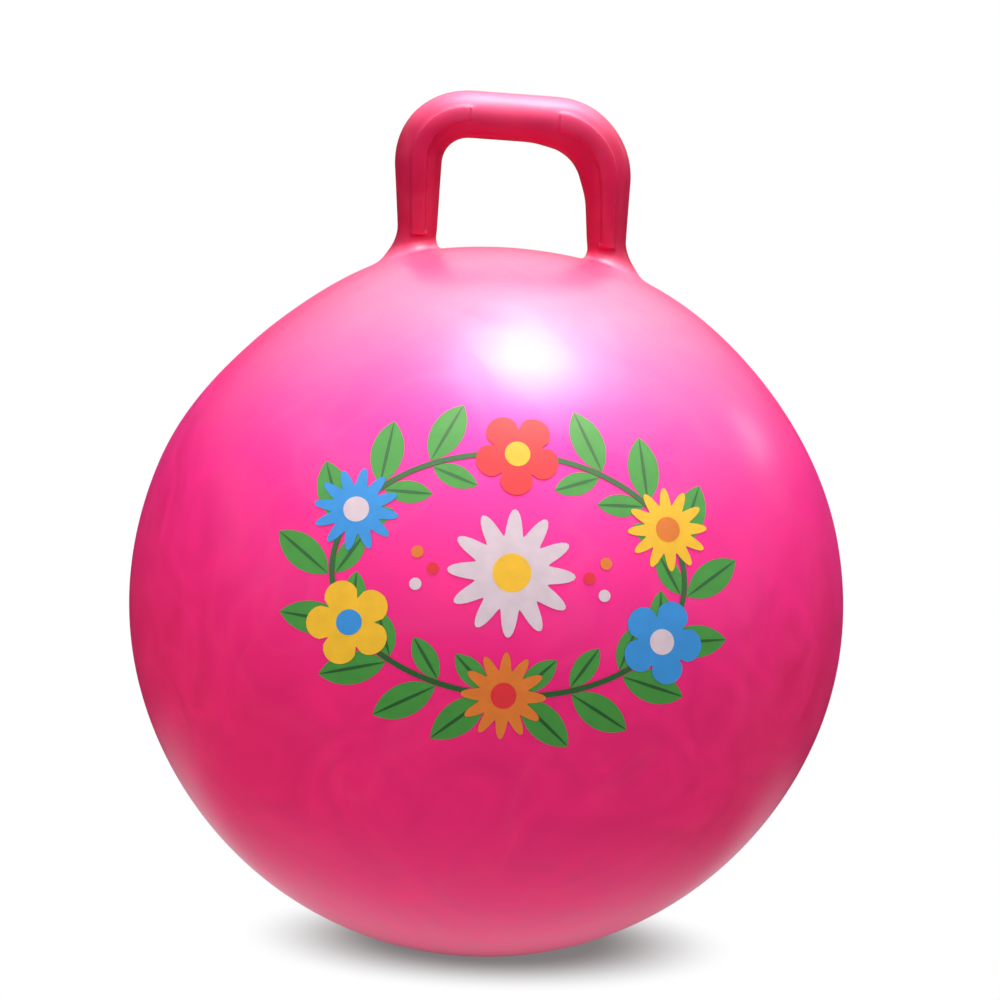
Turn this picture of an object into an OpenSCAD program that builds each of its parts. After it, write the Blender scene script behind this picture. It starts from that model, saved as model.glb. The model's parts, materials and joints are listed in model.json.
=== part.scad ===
// Child's hopper ball: an inflated PVC ball with a moulded grip, a push-in air plug and a flower print.
// Millimetres. The origin is on the floor under the ball's centre, +Z is up and the print faces -Y.

/* [Ball] */
// Diameter of the inflated ball
ball_d = 450; // [400:1:650]
// Thickness of the ball's skin
skin = 0.9; // [0.6:0.1:3]
// Diameter of the flat patch that the ball's weight presses on the floor
foot_d = 90; // [70:1:110]

/* [Handle] */
// Distance between the two legs, centre to centre
leg_spacing = 119; // [108:1:140]
// Outside diameter of the hollow grip tube
tube_d = 29.5; // [25:0.5:33]
// Wall of the grip tube
tube_wall = 3.5; // [2:0.5:6]
// Bend radius of the tube's centreline at each corner
corner_r = 32; // [24:1:44]
// Clear height for fingers, from the top of the ball to the bar's underside
finger_height = 65; // [55:1:90]

/* [Raised bands] */
// Width of the raised band down the front and back of each side
band_w = 10; // [5:0.5:14]
// How far a band stands out of the tube
band_h = 1.2; // [0.5:0.1:2.5]
// How far round the corner a band starts, in degrees from the bar
band_start = 1; // [0:1:40]
// Height of a band's lower end above the ball's skin
band_foot = 11; // [6:1:20]

/* [Handle feet] */
// Height of the flare where a leg meets the ball
flare_h = 14; // [8:1:22]
// Mean reach of the flare around a leg
flare_reach = 14; // [8:1:20]
// Extra reach on the outer side of a leg, taken off its inner side
flare_lean = 4; // [0:1:6]
// Thickness of the flare at its rim
flare_rim = 0.8; // [0.5:0.1:2]
// How far the flare's top stands out of the leg
flare_lap = 0.2; // [0.1:0.1:0.6]

/* [Air valve] */
// Angle of the valve behind the top of the ball, in degrees
valve_angle = 35; // [28:1:75]
// Bore of the valve seat
bore_d = 8; // [6:0.5:10]
// Wall of the seat's inner sleeve
sleeve_wall = 2.5; // [1.5:0.5:4]
// Depth of the sleeve below the skin
sleeve_depth = 16; // [15:0.5:24]
// Wall of the seat's collar around the plug's head
collar_wall = 2; // [1.2:0.2:4]
// How far the collar stands out of the skin
collar_h = 0.8; // [0.4:0.1:1.6]
// Thickness of the seat under the plug's head
collar_floor = 2.6; // [2:0.1:4]
// Reach of the seat's flange beyond its collar, inside the skin
flange_reach = 4; // [2:0.5:8]
// Thickness of that flange
flange_t = 1.5; // [1:0.1:3]
// Diameter of the plug's head
head_d = 15; // [13:0.5:20]
// Thickness of the plug's head
head_t = 2.4; // [1.6:0.1:4]
// Bevel round the top of the plug's head
head_bevel = 0.6; // [0.2:0.1:1]
// Diameter of the small dimple in the plug's head
dimple_d = 4; // [2:0.5:6]
// Depth of that dimple
dimple_depth = 0.4; // [0.2:0.1:0.8]
// Depth of a groove between the plug's ribs
groove = 0.7; // [0.3:0.1:1.2]
// Number of ribs on the plug's stem
rib_count = 3; // [2:1:3]
// Distance from rib to rib
rib_pitch = 3; // [2.5:0.1:3.5]
// Length of the plug's tapered nose
nose_length = 3; // [1.5:0.5:4]
// Diameter at the tip of the nose
nose_d = 5; // [3:0.5:5]

/* [Print] */
// Height of the print's centre above the ball's middle, in degrees
print_tilt = 13; // [0:1:20]
// Half width of the wreath, to the middle of its vine
wreath_w = 100; // [90:1:105]
// Half height of the wreath, to the middle of its vine
wreath_h = 68; // [62:1:72]
// Leaf pairs on each side of the wreath
leaf_pairs = 8; // [5:1:9]
// Length of an outer leaf
outer_leaf = 38; // [28:1:42]
// Length of an inner leaf
inner_leaf = 27; // [20:1:30]
// Width of a leaf as a share of its length
leaf_slim = 0.48; // [0.3:0.01:0.55]
// Angle between a leaf and the vine, in degrees
leaf_splay = 42; // [36:1:60]
// Width of the vine
vine_w = 3; // [2:0.5:5]
// Width of the dark rib along a leaf
midrib_w = 1.8; // [1:0.1:3]
// Radius of the large flower in the middle
large_flower = 36; // [28:1:42]
// Radius of a flower on the wreath
small_flower = 24; // [18:1:28]
// Petals of a pointed flower
pointed_petals = 12; // [8:1:16]
// Petals of a round flower
round_petals = 5; // [5:1:7]
// Depth of the notches between petals, as a share of the flower's radius
petal_notch = 0.42; // [0.2:0.01:0.6]
// Radius of a flower's eye as a share of the flower's radius
eye_share = 0.3; // [0.2:0.01:0.38]
// Radius of a berry
berry_r = 3.4; // [2:0.1:4.2]
// Distance from the large flower to the middle of the first berry
berry_gap = 8; // [6:0.5:12]
// Step from that berry to the next two, outwards and sideways
berry_step = 9; // [7:0.5:9]

/* [Layers and clearances] */
// Thickness of one layer of ink
ink_t = 0.1; // [0.08:0.02:0.3]
// Gap under each layer of ink
ink_gap = 0.05; // [0.02:0.01:0.1]
// Gap between pieces that are welded together
weld_gap = 0.05; // [0.02:0.01:0.1]
// Radial clearance of the plug's ribs in the bore
plug_clearance = 0.05; // [0.02:0.01:0.1]
// Radial clearance round the plug's head
head_clearance = 0.4; // [0.2:0.1:0.8]
// Gap under the plug's head when it is pushed home
head_gap = 0.1; // [0.05:0.01:0.2]

/* [Hidden] */

// Number of sides that round shapes are drawn with
ball_sides = 180;
tube_sides = 64;
small_sides = 48;
$fn = small_sides;

ball_r = ball_d / 2;
foot_sag = ball_r - sqrt(pow(ball_r, 2) - pow(foot_d / 2, 2));
ball_z = ball_r - foot_sag;
apex_z = ball_z + ball_r;

tube_r = tube_d / 2;
cavity_r = tube_r - tube_wall;
leg_x = leg_spacing / 2;
bar_z = apex_z + finger_height + tube_r;
bar_half = leg_x - corner_r;
corner_z = bar_z - corner_r;
flare_sides = 36;
flare_steps = 6;

bore_r = bore_d / 2;
sleeve_r = bore_r + sleeve_wall;
head_r = head_d / 2;
recess_r = head_r + head_clearance;
collar_r = recess_r + collar_wall;
flange_r = collar_r + flange_reach;
// The flange lies against the inside of the skin, which falls away towards the flange's edge
skin_r = ball_r - skin;
flange_z = sqrt(pow(skin_r - weld_gap, 2) - pow(flange_r, 2)) - ball_r;
recess_z = flange_z - flange_t + collar_floor;
head_z = recess_z + head_gap;
stem_r = bore_r - plug_clearance - groove;
rib_h = rib_pitch / 4;
stem_end = head_z - rib_pitch * (rib_count + 0.5);

// Where the flowers stand round the wreath, their kind and their two inks
flowers = [
    [90, "round", "red", "yellow"],
    [28, "pointed", "yellow", "orange"],
    [-28, "round", "blue", "white"],
    [-90, "pointed", "orange", "red"],
    [208, "round", "yellow", "blue"],
    [152, "pointed", "blue", "white"]
];
// Berries on the right of the large flower: steps outwards, steps up and ink
berries = [
    [0, 0, "red"],
    [1, 1, "orange"],
    [1, -1, "white"]
];
// Place of the first pair of leaves, in steps from the wreath's bottom
leaf_start = 0.25;
// A round petal rises steeply out of its notch and a pointed one runs to its tip
round_rise = 0.55;
pointed_rise = 1.6;
petal_points = 12;
vine_points = 72;
lens_sides = 720;
// Layers of ink, from the skin outwards
leaf_layer = 0;
rib_layer = 1;
vine_layer = 2;
petal_layer = 3;
eye_layer = 4;
// The print is cut from a column that starts this far towards the skin
column_share = 0.3;

// Height of the ball's outside over a point of the floor plan
function skin_z(p) = ball_z + sqrt(pow(ball_r, 2) - pow(p.x, 2) - pow(p.y, 2));

// The ball's outside, drawn in by inset all over, with its flat patch
module ball_body(inset) {
    intersection() {
        translate([0, 0, ball_z]) sphere(ball_r - inset, $fn = ball_sides);
        translate([-ball_d, -ball_d, inset]) cube(2 * ball_d);
    }
}

// Carries children to the valve, with +Z straight out of the skin and z = 0 at its outside
module at_valve() {
    translate([0, 0, ball_z]) rotate([-valve_angle, 0, 0]) translate([0, 0, ball_r]) children();
}

module both_sides() {
    children();
    mirror([1, 0, 0]) children();
}

// A round bar of radius r bent along the handle's line, with its legs running on into the ball
module handle_bar(r) {
    both_sides() {
        translate([leg_x, 0, corner_z]) mirror([0, 0, 1])
            cylinder(r = r, h = corner_z - ball_z, $fn = tube_sides);
        translate([bar_half, 0, corner_z]) rotate([90, 0, 0])
            rotate_extrude(angle = 90, $fn = tube_sides) translate([corner_r, 0]) circle(r);
    }
    translate([-bar_half, 0, bar_z]) rotate([0, 90, 0])
        cylinder(r = r, h = 2 * bar_half, $fn = tube_sides);
}

// Section of the tube where it carries a band on its front and on its back
module band_section() {
    intersection() {
        circle(tube_r + band_h, $fn = tube_sides);
        square([band_w, 2 * tube_d], center = true);
    }
}

// The bands of the right-hand side, front and back, with the core of the tube between them
module bands() {
    foot_z = skin_z([leg_x, tube_r]) + band_foot;
    translate([leg_x, 0, corner_z]) mirror([0, 0, 1]) linear_extrude(corner_z - foot_z) band_section();
    translate([bar_half, 0, corner_z]) rotate([90, 0, 0])
        rotate_extrude(angle = 90 - band_start, $fn = tube_sides) translate([corner_r, 0]) band_section();
}

// A point of the right-hand foot's flare: t runs from the leg to the rim, at an angle round the leg
function around_leg(radius, angle) = [leg_x + radius * cos(angle), radius * sin(angle)];
function flare_edge(angle) = tube_r + flare_reach + flare_lean * cos(angle);
function lifted(p, height) = [p.x, p.y, skin_z(p) + height];
function flare_point(t, angle) =
    let (
        leg = around_leg(tube_r + flare_lap, angle),
        edge = around_leg(flare_edge(angle), angle),
        top = lifted(leg, flare_h),
        bend = lifted(leg, flare_rim),
        rim = lifted(edge, flare_rim)
    )
    pow(1 - t, 2) * top + 2 * t * (1 - t) * bend + t * t * rim;

// The flare of the right-hand foot, reaching a little into the ball
module flare() {
    angles = [for (k = [0:flare_sides - 1]) 360 * k / flare_sides];
    rings = flare_steps + 2;
    sunk = [for (a = angles) lifted(around_leg(flare_edge(a), a), -flare_h / 2)];
    curve = [for (i = [0:flare_steps]) for (a = angles) flare_point(1 - i / flare_steps, a)];
    centre = [leg_x, 0];
    low = rings * flare_sides;
    high = low + 1;
    points = concat(sunk, curve, [lifted(centre, -flare_h / 2), lifted(centre, flare_h)]);
    top_ring = (rings - 1) * flare_sides;
    sides = [
        for (i = [0:rings - 2]) for (k = [0:flare_sides - 1])
            let (
                next = (k + 1) % flare_sides,
                a = i * flare_sides + k,
                b = i * flare_sides + next,
                c = a + flare_sides,
                d = b + flare_sides
            )
            each [[a, c, d], [a, d, b]]
    ];
    caps = [
        for (k = [0:flare_sides - 1])
            let (next = (k + 1) % flare_sides)
            each [[low, k, next], [high, top_ring + next, top_ring + k]]
    ];
    polyhedron(points, concat(sides, caps));
}

module ball_shell() {
    color("#e0245e") difference() {
        ball_body(0);
        ball_body(skin);
        both_sides() translate([leg_x, 0, ball_z]) cylinder(r = cavity_r, h = ball_r, $fn = tube_sides);
        at_valve() cylinder(r = collar_r + weld_gap, h = ball_r / 2, center = true);
    }
}

module handle() {
    color("#c41a4b") difference() {
        union() {
            handle_bar(tube_r);
            both_sides() {
                bands();
                flare();
            }
        }
        translate([0, 0, ball_z]) sphere(ball_r + weld_gap, $fn = ball_sides);
        handle_bar(cavity_r);
    }
}

module valve_seat() {
    flange_bottom = flange_z - flange_t;
    color("#f0d9e2") at_valve() rotate_extrude() polygon([
        [bore_r, -sleeve_depth],
        [sleeve_r, -sleeve_depth],
        [sleeve_r, flange_bottom],
        [flange_r, flange_bottom],
        [flange_r, flange_z],
        [collar_r, flange_z],
        [collar_r, collar_h],
        [recess_r, collar_h],
        [recess_r, recess_z],
        [bore_r, recess_z]
    ]);
}

module valve_plug() {
    rib_r = stem_r + groove;
    head_top = head_z + head_t;
    dimple_r = dimple_d / 2;
    ribs = [
        for (i = [1:rib_count])
            let (z = head_z - rib_pitch * i)
            each [[stem_r, z + rib_h], [rib_r, z + rib_h / 2], [rib_r, z - rib_h / 2], [stem_r, z - rib_h]]
    ];
    color("#f6f4f2") at_valve() rotate_extrude() polygon(concat(
        [[0, stem_end - nose_length], [0, head_top - dimple_depth], [dimple_r, head_top - dimple_depth]],
        [[dimple_r, head_top], [head_r - head_bevel, head_top], [head_r, head_top - head_bevel]],
        [[head_r, head_z], [stem_r, head_z]],
        ribs,
        [[stem_r, stem_end], [nose_d / 2, stem_end - nose_length]]
    ));
}

// Pointed leaf along +X from the origin, between two arcs
module lens(length, width) {
    arc_r = (pow(length, 2) + pow(width, 2)) / (4 * width);
    translate([length / 2, 0]) intersection_for (side = [-1, 1]) {
        translate([0, side * (arc_r - width / 2)]) circle(arc_r, $fn = lens_sides);
    }
}

// A place on an oval, and the angle that spaces places evenly along the wreath
function on_oval(w, h, angle) = [w * cos(angle), h * sin(angle)];
function even_angle(share) =
    let (squeeze = (wreath_w - wreath_h) / (wreath_w + wreath_h) / 2)
    share + squeeze * sin(2 * share) * 180 / PI;

// Carries children to an angle round the wreath, with +X along the vine
module on_wreath(angle) {
    translate(on_oval(wreath_w, wreath_h, angle))
        rotate(atan2(wreath_h * cos(angle), -wreath_w * sin(angle)))
        children();
}

// Draws each leaf of the wreath up both sides, or only its rib, and leaves the top to its flower
module leaves(rib_only) {
    both_sides() for (i = [0:leaf_pairs - 1]) {
        on_wreath(even_angle(-90 + 180 * (i + leaf_start) / (leaf_pairs + 1)))
            for (leaf = [[-leaf_splay, outer_leaf], [leaf_splay, inner_leaf]])
                rotate(leaf[0]) translate([vine_w, 0])
                    lens(leaf[1], rib_only ? midrib_w : leaf_slim * leaf[1]);
    }
}

module vine() {
    angles = [for (k = [0:vine_points - 1]) 360 * k / vine_points];
    outer = [for (a = angles) on_oval(wreath_w + vine_w / 2, wreath_h + vine_w / 2, a)];
    inner = [for (a = angles) on_oval(wreath_w - vine_w / 2, wreath_h - vine_w / 2, a)];
    first = [for (k = [0:vine_points - 1]) k];
    polygon(concat(outer, inner), [first, [for (k = first) k + vine_points]]);
}

// Flower outline of rounded or pointed petals with its first petal along +Y
module flower(kind, radius) {
    petals = kind == "pointed" ? pointed_petals : round_petals;
    rise = kind == "pointed" ? pointed_rise : round_rise;
    count = petals * petal_points;
    polygon([
        for (k = [0:count - 1])
            let (
                angle = 360 * k / count,
                wave = abs(cos(petals * angle / 2))
            )
            radius * (1 - petal_notch * (1 - pow(wave, rise))) * [sin(angle), cos(angle)]
    ]);
}

// Cuts a flat drawing out of one layer of ink on the ball
module ink_layer(layer) {
    inner = ball_r + ink_gap + layer * (ink_t + ink_gap);
    column = column_share * ball_r;
    translate([0, 0, ball_z]) difference() {
        intersection() {
            sphere(inner + ink_t, $fn = ball_sides);
            rotate([90 - print_tilt, 0, 0]) translate([0, 0, column]) linear_extrude(ball_r) children();
        }
        sphere(inner, $fn = ball_sides);
    }
}

// All the petals, eyes and berries of one ink
module blooms(ink) {
    ink_layer(petal_layer) {
        for (f = flowers) {
            if (f[2] == ink) on_wreath(f[0]) flower(f[1], small_flower);
        }
        for (b = berries) {
            if (b[2] == ink) both_sides()
                translate([large_flower + berry_gap + berry_step * b[0], berry_step * b[1]]) circle(berry_r);
        }
        if (ink == "white") flower("pointed", large_flower);
    }
    ink_layer(eye_layer) {
        for (f = flowers) {
            if (f[3] == ink) on_wreath(f[0]) circle(small_flower * eye_share);
        }
        if (ink == "yellow") circle(large_flower * eye_share);
    }
}

module print_green() {
    color("#3f9136") ink_layer(leaf_layer) leaves(false);
}

module print_dark_green() {
    color("#1f5a24") {
        ink_layer(vine_layer) vine();
        ink_layer(rib_layer) leaves(true);
    }
}

module print_yellow() {
    color("#f5bb1c") blooms("yellow");
}

module print_orange() {
    color("#e2761c") blooms("orange");
}

module print_white() {
    color("#f6e6ee") blooms("white");
}

module print_red() {
    color("#e2202c") blooms("red");
}

module print_blue() {
    color("#2d8ed8") blooms("blue");
}

ball_shell();
handle();
valve_seat();
valve_plug();
print_green();
print_dark_green();
print_yellow();
print_orange();
print_white();
print_red();
print_blue();
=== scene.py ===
"""Looks of a child's hopper ball: its vinyl skin and grip, its air valve and its flower print.

Everything is in metres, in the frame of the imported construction, which is loaded first.
"""

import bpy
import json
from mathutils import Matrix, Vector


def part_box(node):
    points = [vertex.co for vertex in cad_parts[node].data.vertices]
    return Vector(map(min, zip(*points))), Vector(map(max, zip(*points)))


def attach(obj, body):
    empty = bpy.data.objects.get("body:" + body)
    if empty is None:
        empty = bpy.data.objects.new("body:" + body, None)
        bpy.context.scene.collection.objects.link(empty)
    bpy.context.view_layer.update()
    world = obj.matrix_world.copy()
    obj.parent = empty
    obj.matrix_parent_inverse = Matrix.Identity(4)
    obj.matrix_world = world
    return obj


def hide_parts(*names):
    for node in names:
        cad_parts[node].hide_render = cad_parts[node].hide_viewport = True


bl_info = {
    "name": "Hopper Ball",
    "version": (1, 0, 0),
    "blender": (4, 5, 0),
    "location": "View3D > Sidebar > Hopper Ball",
    "description": "Models a vinyl hopper ball with its grip, air valve and flower print",
    "category": "Add Mesh",
}

import json
import math

import bmesh
import bpy
from bpy.props import FloatProperty, FloatVectorProperty, PointerProperty
from mathutils import Euler, Matrix, Vector

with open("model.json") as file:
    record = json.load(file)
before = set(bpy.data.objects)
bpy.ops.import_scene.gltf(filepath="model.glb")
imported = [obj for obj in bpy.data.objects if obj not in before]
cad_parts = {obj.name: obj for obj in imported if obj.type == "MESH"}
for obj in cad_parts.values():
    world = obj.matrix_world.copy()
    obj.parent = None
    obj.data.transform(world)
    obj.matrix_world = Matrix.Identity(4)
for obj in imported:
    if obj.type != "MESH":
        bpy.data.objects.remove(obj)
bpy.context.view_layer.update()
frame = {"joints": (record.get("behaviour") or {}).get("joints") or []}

MM = 0.001
SHELL_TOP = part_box("ball_shell")[1].z
HANDLE_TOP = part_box("handle")[1].z
VALVE_AXIS = Vector(frame["joints"][0]["axis"]).normalized()


# Colours

def linear(code):
    """Linear red, green, blue and alpha of an sRGB hex colour."""
    parts = [int(code[i:i + 2], 16) / 255 for i in (1, 3, 5)]
    return [c / 12.92 if c <= 0.04045 else ((c + 0.055) / 1.055) ** 2.4 for c in parts] + [1.0]


def size(name, default, description):
    """A length that a user may change."""
    return FloatProperty(name=name, description=description, default=default, min=0.0, unit="LENGTH")


def colour(name, code, description):
    """A colour that a user may change."""
    return FloatVectorProperty(name=name, description=description, default=linear(code), size=4,
                               min=0.0, max=1.0, subtype="COLOR")


class HopperBallSizes(bpy.types.PropertyGroup):
    """Sizes of the moulding, the valve and the print."""

    ball: size("Ball diameter", 450 * MM, "Diameter of the inflated ball")
    skin: size("Skin", 0.9 * MM, "Thickness of the ball's skin")
    left_dip: size("Left shoulder dip", 4.2 * MM, "How far the skin is drawn in at the left shoulder")
    right_dip: size("Right shoulder dip", 2.2 * MM, "How far the skin is drawn in at the right shoulder")
    top_dip: size("Top dip", 1.3 * MM, "How far the skin is drawn flat between the grip's feet")
    belly: size("Belly", 1.1 * MM, "How far the skin swells below the middle")
    leg_spacing: size("Leg spacing", 119 * MM, "Distance between the grip's legs, centre to centre")
    tube: size("Grip tube", 29.5 * MM, "Diameter of the grip's tube")
    corner: size("Corner radius", 32 * MM, "Bend of the tube's centreline at each corner")
    leg_taper: size("Leg taper", 2.4 * MM, "How much slimmer a leg is at its foot")
    lean: size("Lean", 5 * MM, "How far the soft grip leans to the left at its bar")
    sag: size("Sag", 4 * MM, "How far the soft inner corner on the right has filled out")
    band_height: size("Band height", 2.0 * MM, "How far a raised band stands out of the tube")
    band_foot: size("Band foot", 11 * MM, "Height of a band's lower end above the skin")
    flare_height: size("Flare height", 14 * MM, "Height of the flare at a leg's foot")
    flare_reach: size("Flare reach", 15 * MM, "Reach of the flare round a leg's foot")
    wreath_width: size("Wreath width", 200 * MM, "Width of the printed wreath's vine")
    wreath_height: size("Wreath height", 136 * MM, "Height of the printed wreath's vine")
    vine: size("Vine", 3 * MM, "Width of the printed vine")
    outer_leaf: size("Outer leaf", 38 * MM, "Length of a leaf outside the vine")
    inner_leaf: size("Inner leaf", 27 * MM, "Length of a leaf inside the vine")
    rib: size("Rib", 1.8 * MM, "Width of a leaf's printed rib")
    large_flower: size("Large flower", 36 * MM, "Radius of the flower in the middle")
    small_flower: size("Small flower", 24 * MM, "Radius of the flowers on the vine")
    berry: size("Berry", 3.4 * MM, "Radius of a berry")
    ink: size("Ink", 0.1 * MM, "Thickness of one layer of ink")
    ink_step: size("Ink step", 0.12 * MM, "Rise from one layer of ink to the next")


class HopperBallColours(bpy.types.PropertyGroup):
    """Colours of the vinyl, the valve and the inks."""

    vinyl: colour("Ball vinyl", "#FF0C6A", "Pigment of the ball's vinyl")
    # Painted shade: a warmer, deeper pink for the lower half of the ball, which gets less light
    shaded_low_vinyl: colour("Low vinyl", "#FF0C48", "Warmer pigment in the lower half of the ball")
    grip: colour("Grip vinyl", "#AE0234", "Pigment of the thicker vinyl of the grip")
    pearl: colour("Ball pearl", "#7848DC", "Tint of the pearl in the ball's vinyl")
    # Painted highlight: a paler sheen at the top of the ball for the glow of the light from above, not
    # flakes that lie flat
    painted_crown_sheen: colour("Crown pearl", "#D898B0", "Paler sheen at the top, where more flakes lie flat")
    grip_pearl: colour("Grip pearl", "#9C2C60", "Tint of the pearl in the grip's vinyl")
    # Painted light: a paler pink for the top of the bar, where the light from above falls, not a thinner
    # casting
    bar: colour("Bar vinyl", "#CF054C", "Vinyl of the bar, which is cast thinner than the legs")
    # Painted highlight: a paler sheen along the top of the bar
    painted_bar_sheen: colour("Bar pearl", "#D090B8", "Paler sheen along the top of the bar")
    bush: colour("Valve bush", "#E9A9C0", "Colour of the valve's soft bush")
    plug: colour("Air plug", "#EFECE6", "Colour of the air plug")
    green: colour("Leaf ink", "#3F9136", "Ink of the leaves")
    dark_green: colour("Vine ink", "#1F5A24", "Ink of the vine and the leaves' ribs")
    yellow: colour("Yellow ink", "#F5BB1C", "Yellow ink of the flowers")
    orange: colour("Orange ink", "#E2761C", "Orange ink of the flowers")
    white: colour("White ink", "#DCC6D0", "White ink of the flowers")
    red: colour("Red ink", "#E2202C", "Red ink of the flowers")
    blue: colour("Blue ink", "#2D8ED8", "Blue ink of the flowers")


# Helpers for modelling

def start():
    """Deselect everything, so that operators act on the new piece alone."""
    if bpy.context.mode != "OBJECT":
        bpy.ops.object.mode_set(mode="OBJECT")
    bpy.ops.object.select_all(action="DESELECT")


def only(piece):
    """Make a piece the one that operators act on."""
    start()
    piece.select_set(True)
    bpy.context.view_layer.objects.active = piece


def choose(piece, test, faces=False):
    """In edit mode, select the vertices, or the faces, whose place passes a test."""
    bpy.ops.mesh.select_mode(type="FACE" if faces else "VERT")
    bpy.ops.mesh.select_all(action="DESELECT")
    shape = bmesh.from_edit_mesh(piece.data)
    if faces:
        for face in shape.faces:
            face.select_set(test(face.calc_center_median()))
    else:
        for vertex in shape.verts:
            vertex.select_set(test(vertex.co))
    shape.select_flush_mode()
    bmesh.update_edit_mesh(piece.data)


def finish_with(piece, kind, **settings):
    """Add a modifier to a piece and apply it."""
    only(piece)
    modifier = piece.modifiers.new(kind.lower(), kind)
    for name, value in settings.items():
        setattr(modifier, name, value)
    bpy.ops.object.modifier_apply(modifier=modifier.name)


def shade_like(piece, model, **where):
    """Give a piece the shading of another one that it lies on."""
    finish_with(piece, "DATA_TRANSFER", object=model, use_loop_data=True,
                data_types_loops={"CUSTOM_NORMAL"}, loop_mapping="POLYINTERP_NEAREST", **where)


def face_outward():
    """In edit mode, turn every face of the piece outward."""
    bpy.ops.mesh.select_all(action="SELECT")
    bpy.ops.mesh.normals_make_consistent(inside=False)


def next_ring(ring, following):
    """In edit mode, extrude the selected ring to the radius and the height of the one that follows."""
    (radius, height), (next_radius, next_height) = ring, following
    bpy.ops.mesh.extrude_region_move(TRANSFORM_OT_translate={"value": (0.0, 0.0, next_height - height)})
    factor = next_radius / radius
    bpy.ops.transform.resize(value=(factor, factor, 1.0), center_override=(0.0, 0.0, next_height))


def settle(piece):
    """Put a piece's place and turn into its mesh, so that its object sits at the origin."""
    only(piece)
    bpy.ops.object.transform_apply(location=True, rotation=True, scale=True)


def copy_of(piece):
    """A copy of a piece with its own mesh."""
    twin = piece.copy()
    twin.data = piece.data.copy()
    bpy.context.collection.objects.link(twin)
    return twin


def remove(piece):
    """Delete a tool piece that isn't part of the ball."""
    bpy.data.objects.remove(piece)


def hand_over(piece, name, material, body, slot, *nodes):
    """Name a finished piece, and give it its material, its body and the nodes that it stands for."""
    piece.name = name
    piece.data.name = name
    piece.data.materials.clear()
    piece.data.materials.append(material)
    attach(piece, body)
    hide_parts(*nodes)


def ball_centre(sizes):
    """The middle of the ball, whose top is the shell's top."""
    return Vector((0.0, 0.0, SHELL_TOP - sizes.ball / 2))


# Materials

SMOOTH = {"interpolation_type": "SMOOTHSTEP"}
BLEND = {"data_type": "RGBA"}


def add(tree, kind, settings=None, **sockets):
    """Add a node with its settings, and fill its sockets with values or with other nodes' outputs."""
    node = tree.nodes.new(kind)
    for name, value in (settings or {}).items():
        setattr(node, name, value)
    for name, value in sockets.items():
        socket = node.inputs[int(name[1:])] if name[0] == "_" else node.inputs[name.replace("_", " ")]
        if isinstance(value, bpy.types.NodeSocket):
            tree.links.new(value, socket)
        else:
            socket.default_value = value
    return node


def new_material(name):
    """An empty material, with its node tree and its output."""
    material = bpy.data.materials.new(name)
    material.use_nodes = True
    tree = material.node_tree
    tree.nodes.clear()
    return material, tree, add(tree, "ShaderNodeOutputMaterial")


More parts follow.
